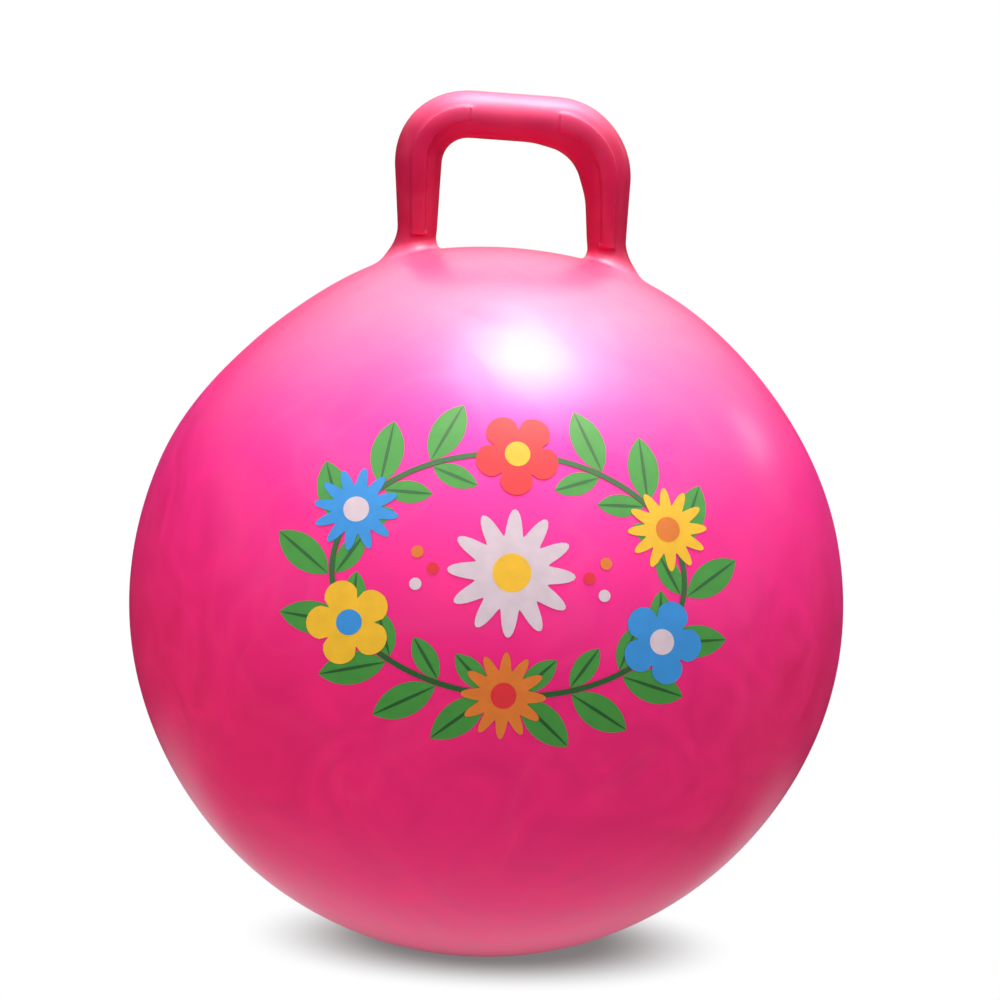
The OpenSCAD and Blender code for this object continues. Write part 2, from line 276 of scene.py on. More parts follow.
def pearl_vinyl(name, sizes, colours):
    """Rotocast PVC plastisol with pearl pigment: a strong pink, deeper in the thick grip, with painted shade
    that makes it warmer low on the ball and painted light that makes it paler along the top of the bar,
    under a pearl sheen that widens every light and pales towards the top of the ball and of the bar as a
    painted highlight, with faint flow swirls from the casting and a thin glossy skin with a soft orange
    peel."""
    material, tree, output = new_material(name)
    place = add(tree, "ShaderNodeTexCoord").outputs["Object"]
    height = add(tree, "ShaderNodeSeparateXYZ", Vector=place).outputs["Z"]
    radius = sizes.ball / 2
    swirl_size = 70 * MM
    streak_size = 150 * MM
    ripple_size = 28 * MM
    peel_size = 2.2 * MM

    # How far a point is up the ball, up its crown, out of the skin into the grip and up to the bar
    out = add(tree, "ShaderNodeVectorMath", {"operation": "DISTANCE"}, _0=place, _1=ball_centre(sizes))
    # Share of the upper ball's pink over the painted shade of the lower half
    high = add(tree, "ShaderNodeMapRange", SMOOTH, Value=height,
               From_Min=0.35 * sizes.ball, From_Max=0.75 * sizes.ball).outputs["Result"]
    # Share of the painted highlight at the crown
    crown = add(tree, "ShaderNodeMapRange", SMOOTH, Value=height,
                From_Min=0.72 * sizes.ball, From_Max=0.95 * sizes.ball).outputs["Result"]
    thick = add(tree, "ShaderNodeMapRange", SMOOTH, Value=out.outputs["Value"],
                From_Min=radius + 0.5 * MM, From_Max=radius + 9 * MM).outputs["Result"]
    # Share of the painted light and the painted highlight along the top of the bar
    bar = add(tree, "ShaderNodeMapRange", SMOOTH, Value=height,
              From_Min=HANDLE_TOP - 30 * MM, From_Max=HANDLE_TOP - 2 * MM).outputs["Result"]

    # Pigment, warmer low on the ball as painted shade and paler along the top of the bar as painted light,
    # with the swirls of the casting
    ball_pigment_and_shade = add(tree, "ShaderNodeMix", BLEND, _0=high, _6=colours.shaded_low_vinyl, _7=colours.vinyl)
    grip_pigment_and_light = add(tree, "ShaderNodeMix", BLEND, _0=bar, _6=colours.grip, _7=colours.bar)
    pigment = add(tree, "ShaderNodeMix", BLEND, _0=thick, _6=ball_pigment_and_shade.outputs[2],
                  _7=grip_pigment_and_light.outputs[2])
    swirl = add(tree, "ShaderNodeTexNoise", Vector=place, Scale=1 / swirl_size, Detail=5.0,
                Roughness=0.55, Distortion=2.6)
    depth = add(tree, "ShaderNodeMapRange", Value=swirl.outputs["Fac"], From_Min=0.3, From_Max=0.7,
                To_Min=0.93, To_Max=1.05)
    body = add(tree, "ShaderNodeVectorMath", {"operation": "SCALE"}, Vector=pigment.outputs[2],
               Scale=depth.outputs["Result"])

    # Pearl, paler at the crown of the ball and along the top of the bar as a painted highlight, with pale
    # streaks where a slow noise crosses its middle
    ball_pearl_and_highlight = add(tree, "ShaderNodeMix", BLEND, _0=crown, _6=colours.pearl, _7=colours.painted_crown_sheen)
    grip_pearl = add(tree, "ShaderNodeMix", BLEND, _0=bar, _6=colours.grip_pearl, _7=colours.painted_bar_sheen)
    pearl = add(tree, "ShaderNodeMix", BLEND, _0=thick, _6=ball_pearl_and_highlight.outputs[2], _7=grip_pearl.outputs[2])
    flow = add(tree, "ShaderNodeTexNoise", Vector=place, Scale=1 / streak_size, Detail=1.0, Roughness=0.5,
               Distortion=2.4)
    middle = add(tree, "ShaderNodeMath", {"operation": "SUBTRACT"}, _0=flow.outputs["Fac"], _1=0.5)
    off_line = add(tree, "ShaderNodeMath", {"operation": "ABSOLUTE"}, _0=middle.outputs[0])
    streak = add(tree, "ShaderNodeMapRange", SMOOTH, Value=off_line.outputs[0], From_Min=0.0,
                 From_Max=0.08, To_Min=0.04, To_Max=0.0)
    sheen = add(tree, "ShaderNodeMix", BLEND, _0=streak.outputs["Result"], _6=pearl.outputs[2],
                _7=linear("#FFFFFF"))

    # Skin, glossier on the ball than on the grip
    gloss = add(tree, "ShaderNodeMapRange", Value=swirl.outputs["Fac"], From_Min=0.3, From_Max=0.7,
                To_Min=0.50, To_Max=0.66)
    coat = add(tree, "ShaderNodeMapRange", Value=thick, To_Min=0.7, To_Max=0.3)
    ripple = add(tree, "ShaderNodeTexNoise", Vector=place, Scale=1 / ripple_size, Detail=2.0,
                 Distortion=0.8)
    peel = add(tree, "ShaderNodeTexNoise", Vector=place, Scale=1 / peel_size, Detail=1.0)
    wavy = add(tree, "ShaderNodeBump", Height=ripple.outputs["Fac"], Strength=0.25, Distance=0.4 * MM)
    skin = add(tree, "ShaderNodeBump", Height=peel.outputs["Fac"], Strength=0.2, Distance=0.05 * MM,
               Normal=wavy.outputs["Normal"])
    shader = add(tree, "ShaderNodeBsdfPrincipled", Base_Color=body.outputs["Vector"],
                 Roughness=gloss.outputs["Result"], IOR=2.6, Specular_Tint=sheen.outputs[2],
                 Coat_Weight=coat.outputs["Result"], Coat_Roughness=0.28, Coat_IOR=1.4,
                 Normal=skin.outputs["Normal"], Coat_Normal=skin.outputs["Normal"])
    tree.links.new(shader.outputs["BSDF"], output.inputs["Surface"])
    return material


def printing_ink(name, pigment):
    """Screen-printed vinyl ink: an even, slightly mottled film, as glossy as the skin it lies on."""
    material, tree, output = new_material(name)
    place = add(tree, "ShaderNodeTexCoord").outputs["Object"]
    mottle_size = 9 * MM
    screen_size = 1.4 * MM
    mottle = add(tree, "ShaderNodeTexNoise", Vector=place, Scale=1 / mottle_size, Detail=4.0)
    depth = add(tree, "ShaderNodeMapRange", Value=mottle.outputs["Fac"], From_Min=0.3, From_Max=0.7,
                To_Min=0.92, To_Max=1.04)
    film = add(tree, "ShaderNodeVectorMath", {"operation": "SCALE"}, Vector=pigment[:3],
               Scale=depth.outputs["Result"])
    screen = add(tree, "ShaderNodeTexNoise", Vector=place, Scale=1 / screen_size, Detail=1.0)
    skin = add(tree, "ShaderNodeBump", Height=screen.outputs["Fac"], Strength=0.08, Distance=0.05 * MM)
    shader = add(tree, "ShaderNodeBsdfPrincipled", Base_Color=film.outputs["Vector"], Roughness=0.5,
                 IOR=1.4, Coat_Weight=0.15, Coat_Roughness=0.22, Coat_IOR=1.4,
                 Normal=skin.outputs["Normal"])
    tree.links.new(shader.outputs["BSDF"], output.inputs["Surface"])
    return material


def soft_moulding(name, pigment, roughness):
    """Injection-moulded soft plastic: a satin face with the fine grain of its mould."""
    material, tree, output = new_material(name)
    place = add(tree, "ShaderNodeTexCoord").outputs["Object"]
    grain_size = 0.7 * MM
    cloud_size = 6 * MM
    cloud = add(tree, "ShaderNodeTexNoise", Vector=place, Scale=1 / cloud_size, Detail=3.0)
    depth = add(tree, "ShaderNodeMapRange", Value=cloud.outputs["Fac"], From_Min=0.3, From_Max=0.7,
                To_Min=0.94, To_Max=1.02)
    body = add(tree, "ShaderNodeVectorMath", {"operation": "SCALE"}, Vector=pigment[:3],
               Scale=depth.outputs["Result"])
    grain = add(tree, "ShaderNodeTexNoise", Vector=place, Scale=1 / grain_size, Detail=1.0)
    face = add(tree, "ShaderNodeBump", Height=grain.outputs["Fac"], Strength=0.2, Distance=0.04 * MM)
    shader = add(tree, "ShaderNodeBsdfPrincipled", Base_Color=body.outputs["Vector"], Roughness=roughness,
                 IOR=1.5, Normal=face.outputs["Normal"])
    tree.links.new(shader.outputs["BSDF"], output.inputs["Surface"])
    return material


# Ball

class HOPPER_OT_ball_skin(bpy.types.Operator):
    """Blow up the ball's skin, press its foot flat, draw in its shoulders and cut the valve's hole"""

    bl_idname = "hopper.ball_skin"
    bl_label = "Ball skin"

    def execute(self, context):
        sizes = context.scene.hopper_sizes
        colours = context.scene.hopper_colours
        radius = sizes.ball / 2
        centre = ball_centre(sizes)
        start()
        bpy.ops.mesh.primitive_uv_sphere_add(segments=256, ring_count=128, radius=radius, location=centre)
        skin = context.object
        settle(skin)
        bpy.ops.object.mode_set(mode="EDIT")
        soft = {"use_proportional_edit": True, "proportional_edit_falloff": "SMOOTH"}

        belly_z = centre.z - 0.16 * radius
        belly_band = 3 * MM
        belly_reach = 120 * MM
        choose(skin, lambda p: abs(p.z - belly_z) < belly_band)
        swell = 1 + sizes.belly / radius
        bpy.ops.transform.resize(value=(swell, swell, 1.0), center_override=centre,
                                 proportional_size=belly_reach, **soft)

        patch = math.radians(3)
        left, right = math.radians(-43), math.radians(48)
        shoulder_reach = 100 * MM
        top_reach = 60 * MM
        for tilt, dip, reach in ((left, sizes.left_dip, shoulder_reach),
                                 (right, sizes.right_dip, shoulder_reach), (0.0, sizes.top_dip, top_reach)):
            out = Vector((math.sin(tilt), 0.0, math.cos(tilt)))
            choose(skin, lambda p: (p - centre).angle(out) < patch)
            bpy.ops.transform.translate(value=-dip * out, proportional_size=reach, **soft)

        choose(skin, lambda p: p.z < 0.0)
        bpy.ops.transform.resize(value=(1.0, 1.0, 0.0), center_override=(0.0, 0.0, 0.0))
        bpy.ops.object.mode_set(mode="OBJECT")
        bpy.ops.object.shade_smooth()

        finish_with(skin, "SOLIDIFY", thickness=sizes.skin, offset=-1.0)
        self.cut_valve_hole(skin, centre + radius * VALVE_AXIS)
        hand_over(skin, "ball_skin", pearl_vinyl("pearl PVC", sizes, colours), "ball",
                  "ball_vinyl", "ball_shell")
        return {"FINISHED"}

    def cut_valve_hole(self, skin, place):
        """Drill the hole for the valve's bush, and keep the skin's even shading round it."""
        whole = copy_of(skin)
        low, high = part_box("valve_plug")
        collar = 2.45 * MM
        drill_length = 20 * MM
        start()
        bpy.ops.mesh.primitive_cylinder_add(vertices=96, radius=(high.x - low.x) / 2 + collar,
                                            depth=drill_length, location=place,
                                            rotation=VALVE_AXIS.to_track_quat("Z", "Y").to_euler())
        drill = bpy.context.object
        settle(drill)
        finish_with(skin, "BOOLEAN", operation="DIFFERENCE", solver="EXACT", object=drill)
        remove(drill)
        shade_like(skin, whole)
        remove(whole)


# Grip

class HOPPER_OT_grip(bpy.types.Operator):
    """Sweep the grip's tube down to its flared feet and raise the bands on its front and back"""

    bl_idname = "hopper.grip"
    bl_label = "Grip"

    sides = 36
    band_faces = 2
    bar_steps = 5
    corner_steps = 10
    leg_steps = 9
    flare_steps = 9

    def execute(self, context):
        sizes = context.scene.hopper_sizes
        colours = context.scene.hopper_colours
        radius = sizes.tube / 2
        leg_x = sizes.leg_spacing / 2
        bar_half = leg_x - sizes.corner
        bar_z = HANDLE_TOP - radius
        corner_z = bar_z - sizes.corner
        centre = ball_centre(sizes)
        foot_z = centre.z + math.sqrt((sizes.ball / 2) ** 2 - leg_x ** 2)

        start()
        bpy.ops.mesh.primitive_circle_add(vertices=self.sides, radius=radius, location=(0.0, 0.0, bar_z),
                                          rotation=(0.0, math.pi / 2, 0.0))
        grip = context.object
        settle(grip)
        bpy.ops.object.mode_set(mode="EDIT")
        bpy.ops.mesh.select_mode(type="VERT")
        bpy.ops.mesh.select_all(action="SELECT")
        for _ in range(self.bar_steps):
            self.extrude((bar_half / self.bar_steps, 0.0, 0.0))
        bpy.ops.mesh.spin(steps=self.corner_steps, angle=-math.pi / 2, center=(bar_half, 0.0, corner_z),
                          axis=(0.0, 1.0, 0.0))

        flare_top = foot_z + sizes.flare_height
        drop = (corner_z - flare_top) / self.leg_steps
        slim = 1 - 2 * sizes.leg_taper / sizes.tube
        shrink = slim ** (1 / self.leg_steps)
        for i in range(self.leg_steps):
            self.extrude((0.0, 0.0, -drop))
            ring = Vector((leg_x, 0.0, corner_z - drop * (i + 1)))
            bpy.ops.transform.resize(value=(shrink, shrink, 1.0), center_override=ring)
        self.flare(sizes, centre, Vector((leg_x, 0.0, flare_top)), radius * slim)
        bpy.ops.mesh.edge_face_add()
        face_outward()
        self.raise_bands(grip, sizes, bar_half, corner_z, foot_z)
        bpy.ops.object.mode_set(mode="OBJECT")

        finish_with(grip, "MIRROR", use_axis=(True, False, False), merge_threshold=0.05 * MM)
        inner = (sizes.corner - radius) * math.sqrt(0.5)
        self.fill_crook(grip, sizes.sag, Vector((bar_half + inner, 0.0, corner_z + inner)))
        self.lean_over(grip, sizes.lean, foot_z, bar_z)
        self.fit_to_skin(grip, centre, sizes.ball / 2)
        finish_with(grip, "SUBSURF", levels=2, render_levels=2)
        bpy.ops.object.shade_smooth()
        shade_like(grip, bpy.data.objects["ball_skin"], vertex_group="rim")
        hand_over(grip, "moulded_grip", pearl_vinyl("thick pearl PVC", sizes, colours), "ball",
                  "grip_vinyl", "handle")
        return {"FINISHED"}

    def fill_crook(self, grip, sag, crook):
        """Let the soft inner corner on the right sag inwards."""
        patch = 5 * MM
        reach = 30 * MM
        only(grip)
        bpy.ops.object.mode_set(mode="EDIT")
        face_outward()
        choose(grip, lambda p: (p - crook).length < patch)
        bpy.ops.transform.translate(value=(-sag, 0.0, -sag), use_proportional_edit=True,
                                    proportional_edit_falloff="SMOOTH", proportional_size=reach)
        bpy.ops.object.mode_set(mode="OBJECT")

    def lean_over(self, grip, lean, foot_z, bar_z):
        """Lean the grip to the left, row by row, from its feet up to its bar."""
        shape = bmesh.new()
        shape.from_mesh(grip.data)
        for vertex in shape.verts:
            share = max(vertex.co.z - foot_z, 0.0) / (bar_z - foot_z)
            vertex.co.x -= lean * min(share, 1.0)
        shape.to_mesh(grip.data)
        shape.free()

    def fit_to_skin(self, grip, centre, radius):
        """Lay the rims of the flares on the skin, and tuck their edges under it."""
        tucked = 0.1 * MM
        blend = 4 * MM
        rim = grip.vertex_groups.new(name="rim")
        edge = grip.vertex_groups.new(name="edge")
        for vertex in grip.data.vertices:
            height = (vertex.co - centre).length - radius
            if height < -tucked:
                edge.add([vertex.index], 1.0, "REPLACE")
                rim.add([vertex.index], 1.0, "REPLACE")
            elif height < blend:
                rim.add([vertex.index], 1 - height / blend, "REPLACE")
        skin = bpy.data.objects["ball_skin"]
        for group, offset in (("rim", 0.1 * MM), ("edge", -0.4 * MM)):
            finish_with(grip, "SHRINKWRAP", target=skin, wrap_method="NEAREST_SURFACEPOINT",
                        wrap_mode="ABOVE_SURFACE", offset=offset, vertex_group=group)

    def extrude(self, step):
        """Extrude the selected ring by a step."""
        bpy.ops.mesh.extrude_region_move(TRANSFORM_OT_translate={"value": step})

    def flare(self, sizes, centre, top, leg_radius):
        """Widen the foot of the right leg, ring by ring, until it lies on the ball."""
        outward = 3 * MM
        overlap = 5 * MM
        sunk = 0.35 * MM
        lean = math.asin((top.x + outward) / (sizes.ball / 2))
        rim_axis = Vector((math.sin(lean), 0.0, math.cos(lean)))
        rim_radius = leg_radius + sizes.flare_reach
        ball_radius = sizes.ball / 2
        place, ring_radius, tilted = top, leg_radius, 0.0
        for i in range(1, self.flare_steps + 2):
            share = min(i / self.flare_steps, 1.0)
            if i <= self.flare_steps:
                next_radius = leg_radius + (rim_radius - leg_radius) * share ** 2
                height = sizes.flare_height * (1 - share) ** 2
            else:
                next_radius = rim_radius + overlap
                height = -sunk
            level = math.sqrt(ball_radius ** 2 - next_radius ** 2) + height
            on_ball = centre + rim_axis * level
            straight = Vector((top.x, 0.0, centre.z + level * math.cos(math.asin(top.x / ball_radius))))
            next_place = straight.lerp(on_ball, share)
            self.extrude(next_place - place)
            factor = next_radius / ring_radius
            bpy.ops.transform.resize(value=(factor, factor, factor), center_override=next_place)
            bpy.ops.transform.rotate(value=-(lean * share - tilted), orient_axis="Y",
                                     center_override=next_place)
            place, ring_radius, tilted = next_place, next_radius, lean * share

    def raise_bands(self, grip, sizes, bar_half, corner_z, foot_z):
        """Raise the bands on the front and the back, from the bar's end to just above the foot."""
        radius = sizes.tube / 2
        leg_x = sizes.leg_spacing / 2
        half_width = radius * math.sin(2 * math.pi * self.band_faces / self.sides)
        low = foot_z + sizes.band_foot

        def in_band(p):
            if p.x < bar_half or p.z < low or abs(p.y) < radius / 2:
                return False
            if p.z > corner_z:
                across = math.hypot(p.x - bar_half, p.z - corner_z) - sizes.corner
            else:
                across = p.x - leg_x
            return abs(across) < half_width

        choose(grip, in_band, faces=True)
        edge = 0.75 * MM
        bpy.ops.mesh.inset(thickness=edge, depth=sizes.band_height)
        bpy.ops.mesh.inset(thickness=edge, depth=0.0)


# Air valve

def turned(rings, closed):
    """Turn a round piece, ring by ring, from its radii and heights."""
    radius, height = rings[0]
    start()
    bpy.ops.mesh.primitive_circle_add(vertices=96, radius=radius, location=(0.0, 0.0, height))
    piece = bpy.context.object
    settle(piece)
    bpy.ops.object.mode_set(mode="EDIT")
    bpy.ops.mesh.select_mode(type="VERT")
    bpy.ops.mesh.select_all(action="SELECT")
    if not closed:
        bpy.ops.mesh.edge_face_add()
    for ring, following in zip(rings, rings[1:] + (rings[:1] if closed else [])):
        next_ring(ring, following)
    bpy.ops.mesh.select_all(action="SELECT")
    bpy.ops.mesh.remove_doubles(threshold=0.001 * MM)
    face_outward()
    bpy.ops.object.mode_set(mode="OBJECT")
    return piece


def seat_at_valve(piece, sizes):
    """Stand a turned piece in the valve, along the valve's axis."""
    piece.rotation_euler = VALVE_AXIS.to_track_quat("Z", "Y").to_euler()
    piece.location = ball_centre(sizes) + sizes.ball / 2 * VALVE_AXIS
    settle(piece)


def soften_edges(piece, width):
    """Round the moulded edges of a turned piece and shade it smooth."""
    finish_with(piece, "BEVEL", width=width, segments=3, limit_method="ANGLE")
    only(piece)
    bpy.ops.object.shade_smooth_by_angle(angle=math.radians(40))


class HOPPER_OT_valve_bush(bpy.types.Operator):
    """Turn the soft bush that the air plug sits in"""

    bl_idname = "hopper.valve_bush"
    bl_label = "Valve bush"

    def execute(self, context):
        sizes = context.scene.hopper_sizes
        colours = context.scene.hopper_colours
        bore, sleeve, flange, collar, recess = 4.0, 6.5, 13.9, 9.9, 7.9
        bottom, flange_low, flange_top, seat, rim = -16.0, -2.9, -1.4, -0.3, 0.8
        bush = turned([(r * MM, z * MM) for r, z in (
            (bore, bottom), (sleeve, bottom), (sleeve, flange_low), (flange, flange_low),
            (flange, flange_top), (collar, flange_top), (collar, rim), (recess, rim), (recess, seat),
            (bore, seat))], closed=True)
        soften_edges(bush, 0.25 * MM)
        seat_at_valve(bush, sizes)
        hand_over(bush, "valve_bush", soft_moulding("soft PVC", colours.bush, 0.4), "ball", "seat_vinyl",
                  "valve_seat")
        return {"FINISHED"}


class HOPPER_OT_air_plug(bpy.types.Operator):
    """Turn the push-in air plug with its ribs, its nose and the dimple in its head"""

    bl_idname = "hopper.air_plug"
    bl_label = "Air plug"

    def execute(self, context):
        sizes = context.scene.hopper_sizes
        colours = context.scene.hopper_colours
        nose, stem, rib, head, dimple = 2.5, 3.25, 3.95, 7.5, 2.0
        pitch, rib_half, crest_half = 3.0, 0.75, 0.375
        low = -0.18
        top = low + 2.4
        chamfer = 0.6
        rings = [(nose, low - 13.5), (stem, low - 10.5)]
        for i in (3, 2, 1):
            middle = low - pitch * i
            rings += [(stem, middle - rib_half), (rib, middle - crest_half),
                      (rib, middle + crest_half), (stem, middle + rib_half)]
        rings += [(stem, low), (head, low), (head, top - chamfer), (head - chamfer, top),
                  (dimple, top), (dimple, top - 0.4)]
        plug = turned([(r * MM, z * MM) for r, z in rings], closed=False)
        soften_edges(plug, 0.15 * MM)
        seat_at_valve(plug, sizes)
        hand_over(plug, "air_plug", soft_moulding("white polyethylene", colours.plug, 0.45), "plug",
                  "plug_polyethylene", "valve_plug")
        return {"FINISHED"}


# Print

# Layers of ink, from the skin up
LEAF, RIB, VINE, PETAL, EYE = range(5)
PRINT_TILT = math.radians(13)
LEAF_PAIRS = 8
LEAF_START = 0.25
LEAF_SPLAY = math.radians(42)
LEAF_SLIM = 0.48
EYE_SHARE = 0.3
# Number of petals, and the power that rounds or sharpens them
PETALS = {"round": (5, 0.55), "pointed": (12, 1.6)}
PETAL_NOTCH = 0.42
PETAL_POINTS = 12
# Each flower's place round the vine in degrees, its kind, and the inks of its petals and its eye
FLOWERS = (
    (90, "round", "red", "yellow"),
    (28, "pointed", "yellow", "orange"),
    (-28, "round", "blue", "white"),
    (-90, "pointed", "orange", "red"),
    (208, "round", "yellow", "blue"),
    (152, "pointed", "blue", "white"),
)
# Each berry's steps outward and upward, and its ink
BERRIES = ((0, 0, "red"), (1, 1, "orange"), (1, -1, "white"))
BERRY_GAP = 8 * MM
BERRY_STEP = 9 * MM


def fill_inward(steps):
    """In edit mode, fill a selected outline round the origin with rings down to its middle."""
    for i in range(steps, 1, -1):
        bpy.ops.mesh.extrude_region_move()
        factor = (i - 1) / i
        bpy.ops.transform.resize(value=(factor, factor, 1.0), center_override=(0.0, 0.0, 0.0))
    bpy.ops.mesh.extrude_region_move()
    bpy.ops.mesh.merge(type="CENTER")


def flat_disc():
    """A flat disc of radius 1."""
    start()
    bpy.ops.mesh.primitive_circle_add(vertices=48, radius=1.0)
    disc = bpy.context.object
    bpy.ops.object.mode_set(mode="EDIT")
    bpy.ops.mesh.select_all(action="SELECT")
    fill_inward(3)
    bpy.ops.object.mode_set(mode="OBJECT")
    return disc


def flat_flower(kind):
    """A flat flower of radius 1 with its first petal along +Y."""
    petals, rise = PETALS[kind]
    start()
    bpy.ops.mesh.primitive_circle_add(vertices=petals * PETAL_POINTS, radius=1.0)
    flower = bpy.context.object
    bpy.ops.object.mode_set(mode="EDIT")
    for k in range(1, PETAL_POINTS // 2 + 1):
        turn = math.pi * k / (petals * PETAL_POINTS / 2)
        wave = abs(math.cos(petals * turn / 2))
        reach = 1 - PETAL_NOTCH * (1 - wave ** rise)
        choose(flower, lambda p: abs(abs(math.cos(petals * math.atan2(p.x, p.y) / 2)) - wave) < 0.001)
        bpy.ops.transform.resize(value=(reach, reach, 1.0), center_override=(0.0, 0.0, 0.0))
    bpy.ops.mesh.select_all(action="SELECT")
    fill_inward(6)
    bpy.ops.object.mode_set(mode="OBJECT")
    return flower


def flat_leaf():
    """A flat leaf of length 1 and width 1, along +X from the origin, between two arcs."""
    columns = 24
    start()
    bpy.ops.mesh.primitive_grid_add(x_subdivisions=columns, y_subdivisions=4, size=1.0,
                                    location=(0.5, 0.0, 0.0))
    leaf = bpy.context.object
    settle(leaf)
    bpy.ops.object.mode_set(mode="EDIT")
    arc = (1 + LEAF_SLIM ** 2) / (4 * LEAF_SLIM)
    for i in range(columns + 1):
        along = i / columns
        half = math.sqrt(max(arc ** 2 - (along - 0.5) ** 2, 0.0)) - (arc - LEAF_SLIM / 2)
        choose(leaf, lambda p: abs(p.x - along) < 0.2 / columns)
        bpy.ops.transform.resize(value=(1.0, max(2 * half / LEAF_SLIM, 0.0), 1.0),
                                 center_override=(0.0, 0.0, 0.0))
    bpy.ops.mesh.select_all(action="SELECT")
    bpy.ops.mesh.remove_doubles(threshold=0.0001)
    bpy.ops.object.mode_set(mode="OBJECT")
    return leaf


def flat_vine(sizes):
    """The flat oval of the vine."""
    start()
    bpy.ops.mesh.primitive_circle_add(vertices=160, radius=1.0)
    vine = bpy.context.object
    wide, high = sizes.wreath_width / 2, sizes.wreath_height / 2
    outer = (wide + sizes.vine / 2, high + sizes.vine / 2)
    inner = (wide - sizes.vine / 2, high - sizes.vine / 2)
    bpy.ops.object.mode_set(mode="EDIT")
    bpy.ops.mesh.select_all(action="SELECT")
    bpy.ops.transform.resize(value=(*outer, 1.0), center_override=(0.0, 0.0, 0.0))
    bpy.ops.mesh.extrude_region_move()
    bpy.ops.transform.resize(value=(inner[0] / outer[0], inner[1] / outer[1], 1.0),
                             center_override=(0.0, 0.0, 0.0))
    bpy.ops.object.mode_set(mode="OBJECT")
    return vine


class HOPPER_OT_flower_print(bpy.types.Operator):
    """Draw the wreath of flowers flat, project it onto the ball and give each ink its thickness"""

    bl_idname = "hopper.flower_print"
    bl_label = "Flower print"

    def execute(self, context):
        sizes = context.scene.hopper_sizes
        colours = context.scene.hopper_colours
        self.shapes = {
            "disc": flat_disc(),
            "round": flat_flower("round"),
            "pointed": flat_flower("pointed"),
            "leaf": flat_leaf(),
            "vine": flat_vine(sizes),
        }
        drawing = self.draw_wreath(sizes)
        for ink in ("green", "dark_green", "yellow", "orange", "white", "red", "blue"):
            sheets = []
            for layer in (LEAF, RIB, VINE, PETAL, EYE):
                marks = [mark[2:] for mark in drawing if mark[:2] == (ink, layer)]
                if marks:
                    sheets.append(self.lay_on_ball(sizes, layer, marks))
            piece = self.join(sheets)
            finish_with(piece, "SOLIDIFY", thickness=sizes.ink, offset=0.0)
            bpy.ops.object.mode_set(mode="EDIT")
            face_outward()
            bpy.ops.object.mode_set(mode="OBJECT")
            bpy.ops.object.shade_smooth_by_angle(angle=math.radians(40))
            material = printing_ink(ink.replace("_", " ") + " vinyl ink", getattr(colours, ink))
            hand_over(piece, "ink_" + ink, material, "ball", "ink_" + ink, "print_" + ink)
        for shape in self.shapes.values():
            remove(shape)
        return {"FINISHED"}

    def draw_wreath(self, sizes):
        """Every mark of the print: its ink, layer, shape, place, turn and size."""
        wide, high = sizes.wreath_width / 2, sizes.wreath_height / 2
        whole = (1.0, 1.0)
        marks = [("dark_green", VINE, "vine", (0.0, 0.0), 0.0, whole)]

        def on_wreath(angle):
            place = Vector((wide * math.cos(angle), high * math.sin(angle)))
            return place, math.atan2(high * math.cos(angle), -wide * math.sin(angle))

        squeeze = (wide - high) / (wide + high) / 2
        for i in range(LEAF_PAIRS):
            share = math.radians(-90 + 180 * (i + LEAF_START) / (LEAF_PAIRS + 1))
            place, along = on_wreath(share + squeeze * math.sin(2 * share))
            for splay, length in ((-LEAF_SPLAY, sizes.outer_leaf), (LEAF_SPLAY, sizes.inner_leaf)):
                turn = along + splay
                root = place + sizes.vine * Vector((math.cos(turn), math.sin(turn)))
                mirrored = (Vector((-root.x, root.y)), math.pi - turn)
                for base, angle in ((root, turn), mirrored):
                    marks.append(("green", LEAF, "leaf", base, angle, (length, LEAF_SLIM * length)))
                    marks.append(("dark_green", RIB, "leaf", base, angle, (length, sizes.rib)))

        for angle, kind, petals, eye in FLOWERS:
            place, turn = on_wreath(math.radians(angle))
            radius = sizes.small_flower
            marks.append((petals, PETAL, kind, place, turn, (radius, radius)))
            marks.append((eye, EYE, "disc", place, turn, (EYE_SHARE * radius, EYE_SHARE * radius)))
        radius = sizes.large_flower
        middle = (0.0, 0.0)
        marks.append(("white", PETAL, "pointed", middle, 0.0, (radius, radius)))
        marks.append(("yellow", EYE, "disc", middle, 0.0, (EYE_SHARE * radius, EYE_SHARE * radius)))
        for step, rise, ink in BERRIES:
            for side in (-1, 1):
                place = (side * (radius + BERRY_GAP + BERRY_STEP * step), BERRY_STEP * rise)
                marks.append((ink, PETAL, "disc", place, 0.0, (sizes.berry, sizes.berry)))
        return marks

    def lay_on_ball(self, sizes, layer, marks):
        """Draw one layer of an ink flat and project it onto the ball."""
        copies = []
        for shape, place, turn, scale in marks:
            mark = copy_of(self.shapes[shape])
            mark.location = (*place, 0.0)
            mark.rotation_euler = (0.0, 0.0, turn)
            mark.scale = (*scale, 1.0)
            copies.append(mark)
        sheet = self.join(copies)
        tilt = Euler((math.pi / 2 - PRINT_TILT, 0.0, 0.0))
        sheet.rotation_euler = tilt
        sheet.location = ball_centre(sizes) + tilt.to_matrix() @ Vector((0.0, 0.0, sizes.ball))
        height = sizes.ink + layer * sizes.ink_step
        finish_with(sheet, "SHRINKWRAP", target=bpy.data.objects["ball_skin"], wrap_method="PROJECT",
                    wrap_mode="ABOVE_SURFACE", use_project_z=True, use_negative_direction=True,
                    use_positive_direction=False, offset=height)
        settle(sheet)
        return sheet

    def join(self, pieces):
        """Join pieces into one whose object sits at the origin."""
        start()
        for piece in pieces:
            piece.select_set(True)
        bpy.context.view_layer.objects.active = pieces[0]
        bpy.ops.object.transform_apply(location=True, rotation=True, scale=True)
        if len(pieces) > 1:
            bpy.ops.object.join()
        return pieces[0]


# Stage

